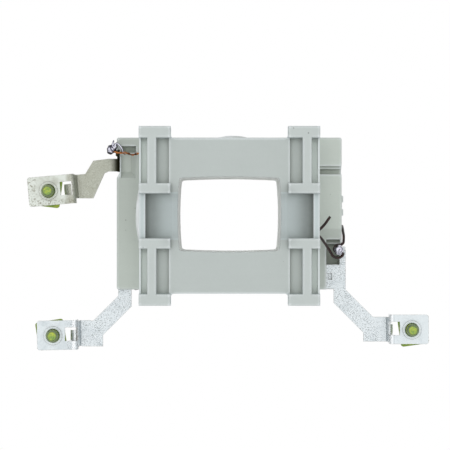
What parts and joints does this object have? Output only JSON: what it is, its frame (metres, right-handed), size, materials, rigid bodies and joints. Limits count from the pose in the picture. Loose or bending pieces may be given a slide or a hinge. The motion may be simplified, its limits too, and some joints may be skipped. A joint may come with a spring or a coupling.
{
  "type": "contactor coil",
  "caption": "Operating coil of a contactor: moulded bobbin with an open core window, taped winding, and clamp terminals on cranked metal strips at the corners.",
  "frame": {"origin": "middle of the core window, level with the front face of the front flange, on which the coil stands", "axes": "+Z along the core window from the front face to the pads of the rear flange; +X towards the side with one terminal; +Y towards the edge that the upper left terminal is near"},
  "size_m": [0.1136, 0.0623, 0.034],
  "materials": {
    "bobbin_plastic": "satin grey moulding",
    "winding_wire": "enamelled copper wire",
    "tape": "white adhesive tape",
    "tinned_strip": "tinned, slightly dull",
    "zinc_plating": "yellow-green zinc plating",
    "solder": "bright solder",
    "bare_copper": "bare stranded copper",
    "brown_enamel": "dark brown wire enamel"
  },
  "bodies": {
    "root": {"bobbin": "bobbin_plastic", "winding": "winding_wire", "winding_tape": "tape", "upper_left_terminal": "tinned_strip", "upper_left_clamp_washer": "zinc_plating", "upper_left_clamp_screw": "zinc_plating", "upper_left_solder": "solder", "lower_left_terminal": "tinned_strip", "lower_left_clamp_washer": "zinc_plating", "lower_left_clamp_screw": "zinc_plating", "lower_left_solder": "solder", "lower_right_terminal": "tinned_strip", "lower_right_clamp_washer": "zinc_plating", "lower_right_clamp_screw": "zinc_plating", "lower_right_solder": "solder", "start_lead": "bare_copper", "finish_lead": "brown_enamel", "jumper_lead": "brown_enamel"}
  },
  "joints": []
}
